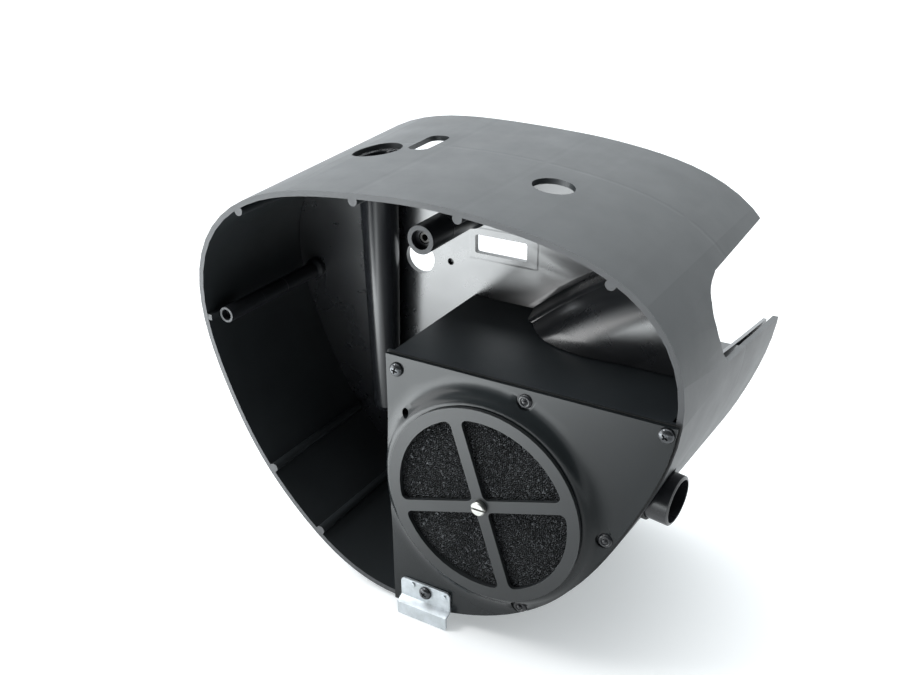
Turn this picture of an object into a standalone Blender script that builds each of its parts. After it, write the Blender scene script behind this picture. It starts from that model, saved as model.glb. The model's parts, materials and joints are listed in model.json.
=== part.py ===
"""Open housing of a solder fume extractor.

Sizes are millimetres in the code and metres in the scene. The blower's axis is the Y axis, +Y points to the
rear, +Z is up, and the origin is on the rear face of the rear panel, where that axis meets it.
"""
import math

import bmesh
import bpy
import numpy as np
from mathutils import Matrix, Vector

MM = 0.001
GAP = 0.3                    # clearance between neighbouring pieces
SHY = 0.1                    # how far a joined detail's end stands off its neighbour's plane

# Shell
FRONT_Y, REAR_Y = -92.5, 62.5
WALL = 3.0
OUTLINE_CENTRE = (-44.0, 30.0)
# radius of the shell's outer face at equal angles, counter-clockwise from +X as seen from the front
OUTLINE_RADII = (130.4, 150.1, 147.9, 129.8, 121.3, 123.9, 140.3, 155.3, 144.5,
                 127.6, 120.0, 118.5, 119.3, 115.4, 114.2, 114.8, 117.7)
OUTLINE_STEPS = 96
FLARES = ((-20, 50, 5.5), (136, 55, 7.4))   # widening at the rear rim: angle, half width, amount
RIB_R = 2.7
TOP_RIBS, TOP_RIB_LENGTH = (137.5, 105.9, 77.8, 44.4), 45.0
LOW_RIBS, LOW_RIB_LENGTH = (-149.7, -127.2), 85.0
RIM_TAB = (-186.2, -180.7, 58.3, 61.8)       # left, right, bottom, top of the square tab beside the side post
RIM_TAB_LENGTH = 20.0

# Openings in the top
SOCKET_X, SOCKET_Y, SOCKET_HOLE_R = -115.5, -15.6, 14.3
SLOT_X, SLOT_Y, SLOT_LENGTH, SLOT_WIDTH = -92.5, 2.2, 30.0, 13.0
KNOB_HOLE_X, KNOB_HOLE_Y, KNOB_HOLE_R = 0.9, -30.8, 11.0

# Notch in the right flank, as (y, z) corners, and the edge of the wall inside it
NOTCH = ((80.0, 117.2), (-19.0, 114.9), (-30.0, 112.4), (-37.0, 108.8), (-41.9, 103.0), (-43.4, 96.0),
         (-40.6, 83.5), (-31.0, 74.2), (5.5, 70.0), (80.0, 59.6))
LINER_TOP = ((-29.0, 75.0), (60.0, 60.5))
LINER_BOTTOM = 42.0
LINER_INSET, LINER_WALL = 5.4, 2.0

# Rear panel
PANEL = 3.6
RECESS_FLOOR, RECESS_TOP = 67.2, 121.5       # z
RECESS_LEFT, RECESS_RISE, RECESS_CURVE = -25.8, 0.87, 0.0033    # border: start, slope, bend
# how far the recess comes forward, by distance to the right of its border
RECESS_PROFILE = ((0.0, 0.0), (4.0, 1.5), (5.2, 3.5), (8.3, 15.9), (10.3, 18.4), (12.8, 19.4), (17.3, 25.9),
                  (22.3, 31.9), (29.3, 36.9), (39.3, 40.9), (53.3, 43.4), (79.3, 41.9))
RECESS_WALL = 2.2
RELIEF_BOTTOM = 134.0                        # cut-out in the panel's top edge, below the slot
PANEL_HOLE_R, PANEL_HOLE = 9.6, (-96.3, 82.9)
PANEL_WINDOW = (-59.3, -26.8, 92.9, 103.7)   # left, right, bottom, top
PINHOLE_R, PINHOLE, PINHOLE_DEPTH = 2.0, (-75.6, 84.2), 2.4

# Screw posts: place, front end, outer radius, radii of the counterbore and the bore
POSTS = {"top_post": ((-60.1, 117.8), -59.5, 8.0, 5.2, 3.2),
         "side_post": ((-173.6, 61.7), -88.0, 4.7, 3.2, 2.6)}
POST_BORE_DEPTH = 24.0

# Socket tube
SOCKET_BOTTOM, SOCKET_TOP, SOCKET_WALL = -16.5, 147.0, 2.0
SOCKET_BOTTOM_R, SOCKET_TOP_R = 8.3, 12.2

# Filter box and front plate
BOX_LEFT, BOX_TOP, BOX_WALL = -60.1, 66.6, 2.0
BOX_LIP = 2.6
SEAL = 0.8
PLATE = 2.0
PLATE_INSET = 1.0
PLATE_BACK = FRONT_Y - GAP - SEAL - GAP
PLATE_FRONT = PLATE_BACK - PLATE
RIVETS = {"rivet_top": (20.6, 62.9), "rivet_right": (65.2, -0.9), "rivet_bottom": (20.4, -58.8)}
EMPTY_RIVET_HOLE = (-46.8, 38.5)
RIVET_HEAD_R, RIVET_R = 3.7, 1.6
EMPTY_HOLE_R = 2.5
PLATE_SCREWS = {"plate_screw_left": (-52.6, 61.3), "plate_screw_right": (90.6, 64.8)}
BRACKET_SCREW = (-37.2, -72.6)
SCREW_HEAD_R, SCREW_R = 3.8, 1.9

# Latch bracket, in x, then z
BRACKET = 1.5
BRACKET_LEFT, BRACKET_RIGHT = -53.4, -21.8
BRACKET_TOP, BRACKET_BEND, BRACKET_LIP = -67.9, -80.6, -89.4
BRACKET_STEP = 4.6
DIMPLES = ((-45.7, -70.4), (-25.4, -71.2))

# Filter
COLLAR_R, COLLAR_BORE = 55.2, 50.5
COLLAR_FRONT = PLATE_FRONT - 4.7
# The plate sweeps up to the collar's rounded shoulder through these radii, at these heights off the plate
COLLAR_SWEEP = ((70.5, 0.0), (66.5, 0.2), (63.2, 0.8), (60.8, 1.8), (59.2, 3.0), (57.9, 4.0), (56.4, 4.6))
SPOT_FACE_R = RIVET_HEAD_R + 0.9
COVER_R, COVER, WINDOW_R, SPOKE, SPOKE_ANGLE = 54.9, 2.2, 48.2, 6.6, math.radians(17.5)
COVER_BACK = COLLAR_FRONT - GAP
COVER_FRONT = COVER_BACK - COVER
COVER_SKIRT_R, COVER_SKIRT = 50.2, 1.5
FOAM_R, FOAM_FRONT, FOAM_BACK = 48.3, COVER_BACK + 0.6, FRONT_Y - 0.6
FRAME_BACK = FRONT_Y + 2.0
PAD_R, PAD_BACK = 46.8, FRAME_BACK + GAP + 5.5
HUB_R, INSERT_R, THREAD_R = 4.6, 3.1, 2.1

# Blower
IMPELLER_R, BLADES = 32.0, 22
SCROLL_START_R, SCROLL_END_R, SCROLL_START = 35.5, 47.5, math.radians(48)
BLOWER_WALL = 2.0
BLOWER_FRONT = PAD_BACK + GAP
BLOWER_BACK = BLOWER_FRONT + 34.0
INLET_R = 24.0
OUTLET_X, OUTLET_Y = 46.0, BLOWER_FRONT + 18.0
OUTLET_Z = (SCROLL_END_R + SCROLL_START_R * math.sin(SCROLL_START)) / 2
MOTOR_R, MOTOR_LENGTH = 21.0, 30.0
MOTOR_FRONT = BLOWER_BACK + GAP
SHAFT_R, BEARING_R, BEARING_WIDTH = 2.0, 5.5, 5.0

# Hose spigot, with the axis leaning down and forward
SPIGOT_END = Vector((92.5, -75.4, 18.5))
SPIGOT_AXIS = Vector((0.994, -0.067, -0.082)).normalized()
SPIGOT_R, SPIGOT_WALL, SPIGOT_LENGTH = 12.7, 1.7, 29.0

COLOURS = {
    "shell": ((0.045, 0.047, 0.050), 0.45, 0.0),
    "moulding": ((0.030, 0.031, 0.034), 0.35, 0.0),
    "plate": ((0.040, 0.041, 0.043), 0.50, 0.0),
    "foam": ((0.012, 0.012, 0.013), 0.95, 0.0),
    "carbon": ((0.020, 0.020, 0.020), 0.90, 0.0),
    "rubber": ((0.015, 0.015, 0.015), 0.80, 0.0),
    "zinc": ((0.78, 0.79, 0.80), 0.35, 0.9),
    "nickel": ((0.75, 0.73, 0.70), 0.25, 1.0),
    "black_steel": ((0.030, 0.030, 0.032), 0.30, 0.6),
    "brass": ((0.75, 0.57, 0.25), 0.30, 1.0),
    "steel": ((0.60, 0.61, 0.62), 0.30, 1.0),
    "fan_plastic": ((0.050, 0.050, 0.055), 0.40, 0.0),
    "magnet": ((0.08, 0.08, 0.085), 0.50, 0.3),
    "copper": ((0.72, 0.36, 0.20), 0.35, 1.0),
}


def clear_scene():
    for thing in list(bpy.data.objects):
        bpy.data.objects.remove(thing, do_unlink=True)


def material(slot):
    found = bpy.data.materials.get(slot)
    if found:
        return found
    colour, roughness, metallic = COLOURS[slot]
    made = bpy.data.materials.new(slot)
    made.use_nodes = True
    shader = made.node_tree.nodes["Principled BSDF"]
    shader.inputs["Base Color"].default_value = (*colour, 1.0)
    shader.inputs["Roughness"].default_value = roughness
    shader.inputs["Metallic"].default_value = metallic
    return made


def add_object(name, bm, slot=None, origin=(0.0, 0.0, 0.0)):
    """Turn a bmesh in millimetres into an object in metres; without a slot it is a cutter."""
    origin = Vector(origin)
    bm.normal_update()
    bmesh.ops.recalc_face_normals(bm, faces=bm.faces)
    bm.transform(Matrix.Scale(MM, 4) @ Matrix.Translation(-origin))
    mesh = bpy.data.meshes.new(name)
    bm.to_mesh(mesh)
    bm.free()
    thing = bpy.data.objects.new(name, mesh)
    thing.location = origin * MM
    bpy.context.scene.collection.objects.link(thing)
    if slot:
        mesh.materials.append(material(slot))
        mesh.shade_smooth()
        mesh.set_sharp_from_angle(angle=math.radians(32))
    else:
        thing.hide_render = True
        thing.display_type = "WIRE"
    return thing


def combine(target, other, operation="DIFFERENCE"):
    step = target.modifiers.new(f"{operation.lower()} {other.name}", "BOOLEAN")
    step.operation = operation
    step.solver = "EXACT"
    step.object = other
    return target


# ---- outlines ----

def outline_radius(angle):
    """Smooth closed curve through the equally spaced radii, by trigonometric interpolation."""
    count = len(OUTLINE_RADII)
    total = 0.0
    for index, radius in enumerate(OUTLINE_RADII):
        half = (angle - 2 * math.pi * index / count) / 2
        weight = 1.0 if abs(math.sin(half)) < 1e-9 else math.sin(count * half) / (count * math.sin(half))
        total += radius * weight
    return total


def flare(angle, y):
    """Outward widening towards the rear rim, at the lower right and the upper left."""
    widening = 0.0
    for middle, half_width, amount in FLARES:
        turn = abs((math.degrees(angle) - middle + 180) % 360 - 180) / half_width
        if turn < 1:
            widening += amount * math.cos(turn * math.pi / 2) ** 2
    return widening * (y - FRONT_Y) / (REAR_Y - FRONT_Y)


def outline_point(angle, inset=0.0, y=FRONT_Y):
    def place(turn):
        radius = outline_radius(turn) + flare(turn, y)
        return Vector((OUTLINE_CENTRE[0] + radius * math.cos(turn), OUTLINE_CENTRE[1] + radius * math.sin(turn)))
    tangent = (place(angle + 1e-3) - place(angle - 1e-3)).normalized()
    return place(angle) - inset * Vector((tangent.y, -tangent.x))


def outline(inset=0.0, y=FRONT_Y, steps=OUTLINE_STEPS):
    return [outline_point(2 * math.pi * index / steps, inset, y) for index in range(steps)]


def circle(radius, steps=40, centre=(0.0, 0.0), start=0.0):
    return [Vector((centre[0] + radius * math.cos(start + 2 * math.pi * index / steps),
                    centre[1] + radius * math.sin(start + 2 * math.pi * index / steps))) for index in range(steps)]


def softened(corners, first, last):
    """The same outline with the corners from first to last cut off a quarter of the way along their edges."""
    points = []
    for index, corner in enumerate(corners):
        here = Vector(corner)
        if first <= index <= last:
            points.append(here.lerp(Vector(corners[index - 1]), 0.25))
            points.append(here.lerp(Vector(corners[index + 1]), 0.25))
        else:
            points.append(here)
    return points


def rounded(corners, radius, steps=4):
    """The same closed outline with each corner replaced by an arc."""
    points = []
    count = len(corners)
    for index, corner in enumerate(corners):
        corner = Vector(corner)
        before = (Vector(corners[index - 1]) - corner).normalized()
        after = (Vector(corners[(index + 1) % count]) - corner).normalized()
        half = before.angle(after) / 2
        if half > math.radians(85):
            points.append(corner)
            continue
        centre = corner + (before + after).normalized() * radius / math.sin(half)
        first = corner + before * radius / math.tan(half) - centre
        last = corner + after * radius / math.tan(half) - centre
        sweep = first.angle_signed(last)
        for step in range(steps + 1):
            points.append(centre + Matrix.Rotation(-sweep * step / steps, 2) @ first)
    return points


# ---- solids ----

def skin(bm, rings, closed=False):
    """Join rings of points with faces; open ends are capped."""
    rows = [[bm.verts.new(point) for point in ring] for ring in rings]
    count = len(rows[0])
    pairs = list(zip(rows, rows[1:]))
    if closed:
        pairs.append((rows[-1], rows[0]))
    for one, two in pairs:
        for index in range(count):
            after = (index + 1) % count
            bm.faces.new((one[index], one[after], two[after], two[index]))
    if not closed:
        bm.faces.new(rows[0])
        bm.faces.new(reversed(rows[-1]))
    return bm


def shell_block(inset, y_first, y_last, stations=4):
    """Solid bounded by the shell's outline moved inwards by inset."""
    rings = []
    for y in np.linspace(y_first, y_last, stations):
        rings.append([(point.x, y, point.y) for point in outline(inset, y)])
    return skin(bmesh.new(), rings)


def bar(points, y_first, y_last):
    """Prism along Y from an outline in X and Z."""
    return skin(bmesh.new(), [[(point[0], y, point[1]) for point in points] for y in (y_first, y_last)])


def bar_along(points, first, last, axis):
    """Prism along X or Z from an outline in the other two directions."""
    if axis == "X":
        rings = [[(x, point[0], point[1]) for point in points] for x in (first, last)]
    else:
        rings = [[(point[0], point[1], z) for point in points] for z in (first, last)]
    return skin(bmesh.new(), rings)


def pierced(outer, holes, y_first, y_last):
    """Flat plate across Y with holes, from outlines in X and Z."""
    bm = bmesh.new()
    sides = []
    for y in (y_first, y_last):
        loops = [[bm.verts.new((point[0], y, point[1])) for point in loop] for loop in (outer, *holes)]
        edges = [bm.edges.new((loop[index - 1], loop[index])) for loop in loops for index in range(len(loop))]
        bmesh.ops.triangle_fill(bm, edges=edges, use_beauty=True)
        sides.append(loops)
    for first, last in zip(*sides):
        for index in range(len(first)):
            bm.faces.new((first[index - 1], first[index], last[index], last[index - 1]))
    return bm


def block(left, right, y_first, y_last, bottom, top):
    return bar([(left, bottom), (right, bottom), (right, top), (left, top)], y_first, y_last)


def turned(profile, steps=40, centre=(0.0, 0.0)):
    """Solid of revolution about Y from a closed (radius, y) profile."""
    bm = bmesh.new()
    rows = []
    for index in range(steps):
        angle = 2 * math.pi * index / steps
        rows.append([bm.verts.new((centre[0] + r * math.cos(angle), y, centre[1] + r * math.sin(angle)))
                     for r, y in profile])
    count = len(profile)
    for one, two in zip(rows, rows[1:] + rows[:1]):
        for index in range(count):
            after = (index + 1) % count
            if profile[index][0] < 1e-6 and profile[after][0] < 1e-6:
                continue
            bm.faces.new((one[index], one[after], two[after], two[index]))
    bmesh.ops.remove_doubles(bm, verts=bm.verts, dist=1e-4)
    bmesh.ops.dissolve_degenerate(bm, edges=bm.edges, dist=1e-5)
    return bm


def aim(bm, end, axis):
    """Move a solid turned about +Y so that its origin is at end and +Y points along axis."""
    bm.transform(Matrix.Translation(end) @ Vector((0, 1, 0)).rotation_difference(axis).to_matrix().to_4x4())
    return bm


# ---- shell ----

def add_outer_shell():
    shell = add_object("outer_shell", shell_block(0.0, FRONT_Y, REAR_Y), "shell")
    combine(shell, add_object("cut shell inside", shell_block(WALL, FRONT_Y - 5, REAR_Y + 5)))
    for length, angles in ((TOP_RIB_LENGTH, TOP_RIBS), (LOW_RIB_LENGTH, LOW_RIBS)):
        for angle in angles:
            centre = outline_point(math.radians(angle), WALL + 1.0)
            rib = bar(circle(RIB_R, 12, centre, 0.1), FRONT_Y, FRONT_Y + length)
            combine(shell, add_object(f"rim rib {angle}", rib), "UNION")
    left, right, bottom, top = RIM_TAB
    tab = block(left, right, FRONT_Y + SHY, FRONT_Y + RIM_TAB_LENGTH, bottom, top)
    combine(shell, add_object("rim tab", tab), "UNION")
    socket = bar_along(circle(SOCKET_HOLE_R, 36, (SOCKET_X, SOCKET_Y)), 120, 170, "Z")
    combine(shell, add_object("cut socket hole", socket))
    half_width, half_length = SLOT_WIDTH / 2, SLOT_LENGTH / 2
    corners = [(SLOT_X + side * half_width, SLOT_Y + end * half_length)
               for side, end in ((-1, -1), (1, -1), (1, 1), (-1, 1))]
    combine(shell, add_object("cut slot", bar_along(rounded(corners, 5.0), 125, 170, "Z")))
    knob = bar_along(circle(KNOB_HOLE_R, 32, (KNOB_HOLE_X, KNOB_HOLE_Y)), 130, 170, "Z")
    combine(shell, add_object("cut knob hole", knob))
    combine(shell, add_object("cut notch", bar_along(softened(NOTCH, 2, 6), 60, 120, "X")))
    hole = aim(turned([(0, -26), (SPIGOT_R + 1.6, -26), (SPIGOT_R + 1.6, 8), (0, 8)], 32), SPIGOT_END, SPIGOT_AXIS)
    combine(shell, add_object("cut spigot hole", hole))


# ---- rear panel ----

def recess_border(z):
    """X of the recess's border on the panel at one height."""
    rise = max(0.0, z - RECESS_FLOOR)
    root = math.sqrt(max(0.0, RECESS_RISE ** 2 - 4 * RECESS_CURVE * rise))
    return RECESS_LEFT + (RECESS_RISE - root) / (2 * RECESS_CURVE)


def recess_section(z, inset):
    """Plan of the recess at one height, shrunk by inset to leave its wall."""
    border = recess_border(z) + inset
    face = -PANEL + inset
    points = [(border + along, face - depth) for along, depth in RECESS_PROFILE]
    right = border + RECESS_PROFILE[-1][0] + 60
    back = 6.0 if inset else -PANEL / 2
    return points + [(right, face - RECESS_PROFILE[-1][1]), (right, back), (border, back)]


def recess_block(inset):
    bottom, top = RECESS_FLOOR + inset, RECESS_TOP - inset / 2
    levels = [bottom + (top - bottom) * (1 - (1 - step / 11) ** 1.6) for step in range(12)]
    return skin(bmesh.new(), [[(x, y, z) for x, y in recess_section(z, inset)] for z in levels])


def add_rear_panel():
    relief = block(SLOT_X - SLOT_WIDTH / 2 - 2, SLOT_X + SLOT_WIDTH / 2 + 2, -PANEL - 1, 1, RELIEF_BOTTOM, 155)
    left, right, bottom, top = PANEL_WINDOW
    window = rounded([(left, bottom), (right, bottom), (right, top), (left, top)], 1.2, 2)
    sheet = [(-210, -100), (110, -100), (110, 160), (-210, 160)]
    solid = pierced(sheet, [circle(PANEL_HOLE_R, 32, PANEL_HOLE), window], -PANEL, 0)
    panel = add_object("rear_panel", solid, "moulding")
    combine(panel, add_object("cut slot relief", relief))
    pinhole = bar(circle(PINHOLE_R, 14, PINHOLE), -PANEL - 1, -PANEL + PINHOLE_DEPTH)
    combine(panel, add_object("cut pinhole", pinhole))
    groove = skin(bmesh.new(), [socket_ring(SOCKET_BOTTOM - 5, -GAP - SHY), socket_ring(165, -GAP - SHY)])
    combine(panel, add_object("cut groove behind socket", groove))
    combine(panel, add_object("recess wall", recess_block(0.0)), "UNION")
    combine(panel, add_object("cut recess", recess_block(RECESS_WALL)))
    combine(panel, add_object("keep inside shell", shell_block(WALL + GAP, -60, 12)), "INTERSECT")
    combine(panel, add_object("recess liner", liner_block()), "UNION")


def liner_block():
    """Wall just inside the flank, along the lower edge of the notch."""
    liner = shell_block(LINER_INSET, -30, 61)
    wall = add_object("liner wall", liner)
    combine(wall, add_object("cut liner inside", shell_block(LINER_INSET + LINER_WALL, -35, 66)))
    (y_first, z_first), (y_last, z_last) = LINER_TOP
    side = [(y_first, RECESS_FLOOR + 0.5), (y_first, z_first), (y_last, z_last), (y_last, LINER_BOTTOM),
            (-PANEL + 0.5, LINER_BOTTOM), (-PANEL + 0.5, RECESS_FLOOR + 0.5)]
    combine(wall, add_object("keep liner side", bar_along(side, 60, 120, "X")), "INTERSECT")
    evaluated = wall.evaluated_get(bpy.context.evaluated_depsgraph_get())
    bm = bmesh.new()
    bm.from_mesh(evaluated.to_mesh())
    bm.transform(Matrix.Scale(1 / MM, 4))
    return bm


# ---- socket tube and posts ----

def socket_radius(z):
    """Outer radius of the tapered socket tube."""
    part = (z - SOCKET_BOTTOM) / (SOCKET_TOP - SOCKET_BOTTOM)
    return SOCKET_BOTTOM_R + (SOCKET_TOP_R - SOCKET_BOTTOM_R) * min(part, 1.0)


def socket_ring(z, inset=0.0):
    """Level ring on the socket tube's outer face, shrunk by inset."""
    return [(point.x, point.y, z) for point in circle(socket_radius(z) - inset, 28, (SOCKET_X, SOCKET_Y))]


def add_socket_tube():
    rounding = [socket_ring(SOCKET_BOTTOM + 4 * (1 - math.cos(turn)), 4 * (1 - math.sin(turn)))
                for turn in (0.35, 0.9, math.pi / 2)]
    outside = skin(bmesh.new(), rounding + [socket_ring(160)])
    tube = add_object("socket_tube", outside, "moulding")
    inside = skin(bmesh.new(), [socket_ring(SOCKET_BOTTOM + 3, SOCKET_WALL), socket_ring(165, SOCKET_WALL)])
    combine(tube, add_object("cut socket bore", inside))
    combine(tube, add_object("keep under top wall", shell_block(WALL + GAP, -40, 40)), "INTERSECT")


def add_post(name, centre, front, radius, counterbore, bore):
    """Screw post that stands on the rear panel, with a foot and a threaded insert."""
    back = -PANEL - GAP
    profile = [(0, back), (radius + 2, back), (radius + 2, back - 3), (radius, back - 5), (radius, front),
               (counterbore, front), (counterbore, front + 4), (bore, front + 4), (bore, front + POST_BORE_DEPTH),
               (0, front + POST_BORE_DEPTH)]
    add_object(name, turned(profile, 28, centre), "moulding")
    sleeve = [(bore - 0.2, front + 4.5), (bore - 0.2, front + 12), (THREAD_R - 0.4, front + 12),
              (THREAD_R - 0.4, front + 4.5)]
    add_object(f"{name}_insert", turned(sleeve, 20, centre), "black_steel")


# ---- filter box and front plate ----

def add_filter_box():
    corner = [(BOX_LEFT, -120), (BOX_LEFT, BOX_TOP), (120, BOX_TOP), (120, BOX_TOP - BOX_WALL),
              (BOX_LEFT + BOX_WALL, BOX_TOP - BOX_WALL), (BOX_LEFT + BOX_WALL, -120)]
    back = -PANEL - GAP
    box = add_object("filter_box", bar(corner, FRONT_Y, back), "moulding")
    for name, (x, z) in PLATE_SCREWS.items():
        boss = block(x - 5, x + 5, FRONT_Y, FRONT_Y + 16, z - 4.5, BOX_TOP - 0.4)
        combine(box, add_object(f"boss {name}", boss), "UNION")
    x, z = BRACKET_SCREW
    combine(box, add_object("boss bracket", block(BOX_LEFT + 1, x + 5, FRONT_Y, FRONT_Y + 16, z - 4, z + 5)), "UNION")
    lip = block(BOX_LEFT, 120, FRONT_Y, FRONT_Y + 1.6, BOX_TOP - 1, BOX_TOP + BOX_LIP)
    combine(box, add_object("box lip", lip), "UNION")
    left_boss = block(BOX_LEFT + 1, -50, FRONT_Y, FRONT_Y + 16, 54.7, BOX_TOP - 1)
    combine(box, add_object("boss corner", left_boss), "UNION")
    combine(box, add_object("keep box inside shell", shell_block(WALL + GAP, FRONT_Y - 2, 5)), "INTERSECT")
    for name, (x, z) in {**PLATE_SCREWS, "bracket_screw": BRACKET_SCREW}.items():
        hole = bar(circle(SCREW_R + 0.2, 14, (x, z)), FRONT_Y - 1, FRONT_Y + 14)
        combine(box, add_object(f"cut hole {name}", hole))


def plate_outline_cut(solid, name, inset=0.0):
    """Trim a piece to the part of the shell's outline that the front plate covers."""
    combine(solid, add_object(f"keep {name} outline", shell_block(inset, FRONT_Y - 30, FRONT_Y + 10, 2)),
            "INTERSECT")
    keep = block(BOX_LEFT + inset, 140, FRONT_Y - 40, FRONT_Y + 20, -140, BOX_TOP + BOX_LIP - inset / 3)
    combine(solid, add_object(f"keep {name} corner", keep), "INTERSECT")


def cut_fixing_holes(solid, name, y_first, y_last):
    for index, place in enumerate((*RIVETS.values(), EMPTY_RIVET_HOLE)):
        hole = bar(circle(RIVET_R + 0.25, 14, place), y_first, y_last)
        combine(solid, add_object(f"cut {name} rivet hole {index}", hole))
    for index, place in enumerate((*PLATE_SCREWS.values(), BRACKET_SCREW)):
        hole = bar(circle(SCREW_R + 0.25, 14, place), y_first, y_last)
        combine(solid, add_object(f"cut {name} screw hole {index}", hole))


def add_plate_seal():
    """Thin frame between the plate and the front edges of the box and shell."""
    seal = add_object("plate_seal", block(-80, 140, FRONT_Y - GAP - SEAL, FRONT_Y - GAP, -140, 90), "rubber")
    plate_outline_cut(seal, "seal", 0.3)
    opening = bar(circle(69.5, 48), FRONT_Y - 5, FRONT_Y + 5)
    limit = add_object("seal opening", opening)
    combine(limit, add_object("seal opening outline", shell_block(7.0, FRONT_Y - 8, FRONT_Y + 8, 2)), "INTERSECT")
    combine(limit, add_object("seal opening box", block(BOX_LEFT + 4, 120, FRONT_Y - 9, FRONT_Y + 9, -140,
                                                        BOX_TOP - 4)), "INTERSECT")
    combine(seal, limit)
    cut_fixing_holes(seal, "seal", FRONT_Y - 5, FRONT_Y + 2)


def add_front_plate():
    fixings = [circle(SCREW_R + 0.25, 14, place) for place in (*PLATE_SCREWS.values(), BRACKET_SCREW)]
    fixings += [circle(RIVET_R + 0.25, 14, place) for place in RIVETS.values()]
    fixings.append(circle(EMPTY_HOLE_R, 20, EMPTY_RIVET_HOLE))
    sheet = [(-80, -140), (140, -140), (140, 90), (-80, 90)]
    solid = pierced(sheet, [circle(COLLAR_BORE, 64, start=0.02), *fixings], PLATE_FRONT, PLATE_BACK)
    plate = add_object("front_plate", solid, "plate")
    sweep = [(radius, PLATE_FRONT - height) for radius, height in COLLAR_SWEEP]
    profile = [(COLLAR_BORE + 0.4, PLATE_FRONT + 0.5), (COLLAR_SWEEP[0][0], PLATE_FRONT + 0.5), *sweep,
               (COLLAR_R - 0.5, COLLAR_FRONT), (COLLAR_BORE + 0.4, COLLAR_FRONT)]
    flared = add_object("plate collar", turned(profile, 64))
    for index, place in enumerate(RIVETS.values()):
        seat = bar(circle(SPOT_FACE_R, 24, place), COLLAR_FRONT - 1, PLATE_FRONT - SHY)
        combine(flared, add_object(f"cut spot face {index}", seat))
        bore = bar(circle(RIVET_R + 0.25, 14, place), COLLAR_FRONT - 1, PLATE_BACK + 1)
        combine(flared, add_object(f"cut collar rivet hole {index}", bore))
    empty = bar(circle(EMPTY_HOLE_R, 20, EMPTY_RIVET_HOLE), COLLAR_FRONT - 1, PLATE_BACK + 1)
    combine(flared, add_object("cut empty hole", empty))
    combine(plate, flared, "UNION")
    plate_outline_cut(plate, "plate", PLATE_INSET)


# ---- filter ----

def window_outline(index):
    middle = SPOKE_ANGLE + math.pi / 4 + index * math.pi / 2
    half = SPOKE / 2
    corner = Vector((half, half))
    reach = math.sqrt(WINDOW_R ** 2 - half ** 2)
    first = math.atan2(half, reach)
    arc = [(WINDOW_R * math.cos(turn), WINDOW_R * math.sin(turn))
           for turn in np.linspace(first, math.pi / 2 - first, 13)]
    turn = Matrix.Rotation(middle - math.pi / 4, 2)
    shape = rounded([corner, *[Vector(point) for point in arc]], 3.0, 4)
    return [turn @ point for point in shape]


def add_filter_cover():
    holes = [window_outline(index) for index in range(4)] + [circle(SCREW_R + 0.3, 20)]
    cover = add_object("filter_cover", pierced(circle(COVER_R, 64), holes, COVER_FRONT, COVER_BACK), "plate")
    skirt = [(COVER_SKIRT_R, COVER_BACK - 0.6), (COVER_SKIRT_R, COVER_BACK + 3.5),
             (COVER_SKIRT_R - COVER_SKIRT, COVER_BACK + 3.5), (COVER_SKIRT_R - COVER_SKIRT, COVER_BACK - 0.6)]
    combine(cover, add_object("cover skirt", turned(skirt, 64)), "UNION")


def add_filter_stack():
    foam = [(HUB_R + GAP, FOAM_FRONT), (FOAM_R, FOAM_FRONT), (FOAM_R, FOAM_BACK), (HUB_R + GAP, FOAM_BACK)]
    add_object("foam_filter", turned(foam, 56), "foam")
    pad = [(8.0, FRAME_BACK + GAP), (PAD_R, FRAME_BACK + GAP), (PAD_R, PAD_BACK), (8.0, PAD_BACK)]
    add_object("carbon_filter", turned(pad, 48), "carbon")
    frame = add_object("filter_frame", bar(circle(69, 56), FRONT_Y, FRAME_BACK), "moulding")
    keep = shell_block(WALL + GAP, FRONT_Y - 5, FRONT_Y + 8, 2)
    combine(frame, add_object("keep frame inside shell", keep), "INTERSECT")
    limit = block(BOX_LEFT + BOX_WALL + GAP, 120, FRONT_Y - 6, FRONT_Y + 9, -120, BOX_TOP - BOX_WALL - GAP)
    combine(frame, add_object("keep frame inside box", limit), "INTERSECT")
    for name, (x, z) in {**PLATE_SCREWS, "bracket": BRACKET_SCREW}.items():
        clear = block(x - 12, x + 5.4, FRONT_Y - 2, FRONT_Y + 6, z - 4.9, z + 5.4)
        combine(frame, add_object(f"cut frame near {name}", clear))
    for index in range(4):
        start = SPOKE_ANGLE + index * math.pi / 2
        arc = [Vector((45 * math.cos(start + turn), 45 * math.sin(start + turn)))
               for turn in np.linspace(0.10, math.pi / 2 - 0.10, 11)]
        tip = Vector((10 * math.cos(start + math.pi / 4), 10 * math.sin(start + math.pi / 4)))
        combine(frame, add_object(f"cut frame window {index}", bar([tip, *arc], FRONT_Y - 2, FRAME_BACK + 2)))
    hub = [(0, FRAME_BACK), (HUB_R, FRAME_BACK), (HUB_R, FOAM_FRONT + 0.4), (0, FOAM_FRONT + 0.4)]
    combine(frame, add_object("frame hub", turned(hub, 24)), "UNION")
    pocket = bar(circle(INSERT_R + 0.15, 24), FOAM_FRONT - 1, FRAME_BACK + 2)
    combine(frame, add_object("cut frame hub bore", pocket))
    for index, place in enumerate((*RIVETS.values(), EMPTY_RIVET_HOLE)):
        hole = bar(circle(RIVET_R + 0.25, 14, place), FRONT_Y - 2, FRAME_BACK + 2)
        combine(frame, add_object(f"cut frame rivet hole {index}", hole))
    sleeve = [(THREAD_R, FOAM_FRONT + 1.0), (INSERT_R, FOAM_FRONT + 1.0), (INSERT_R, FRAME_BACK - 0.5),
              (THREAD_R, FRAME_BACK - 0.5)]
    add_object("cover_screw_insert", turned(sleeve, 24), "brass")


# ---- fasteners ----

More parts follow.
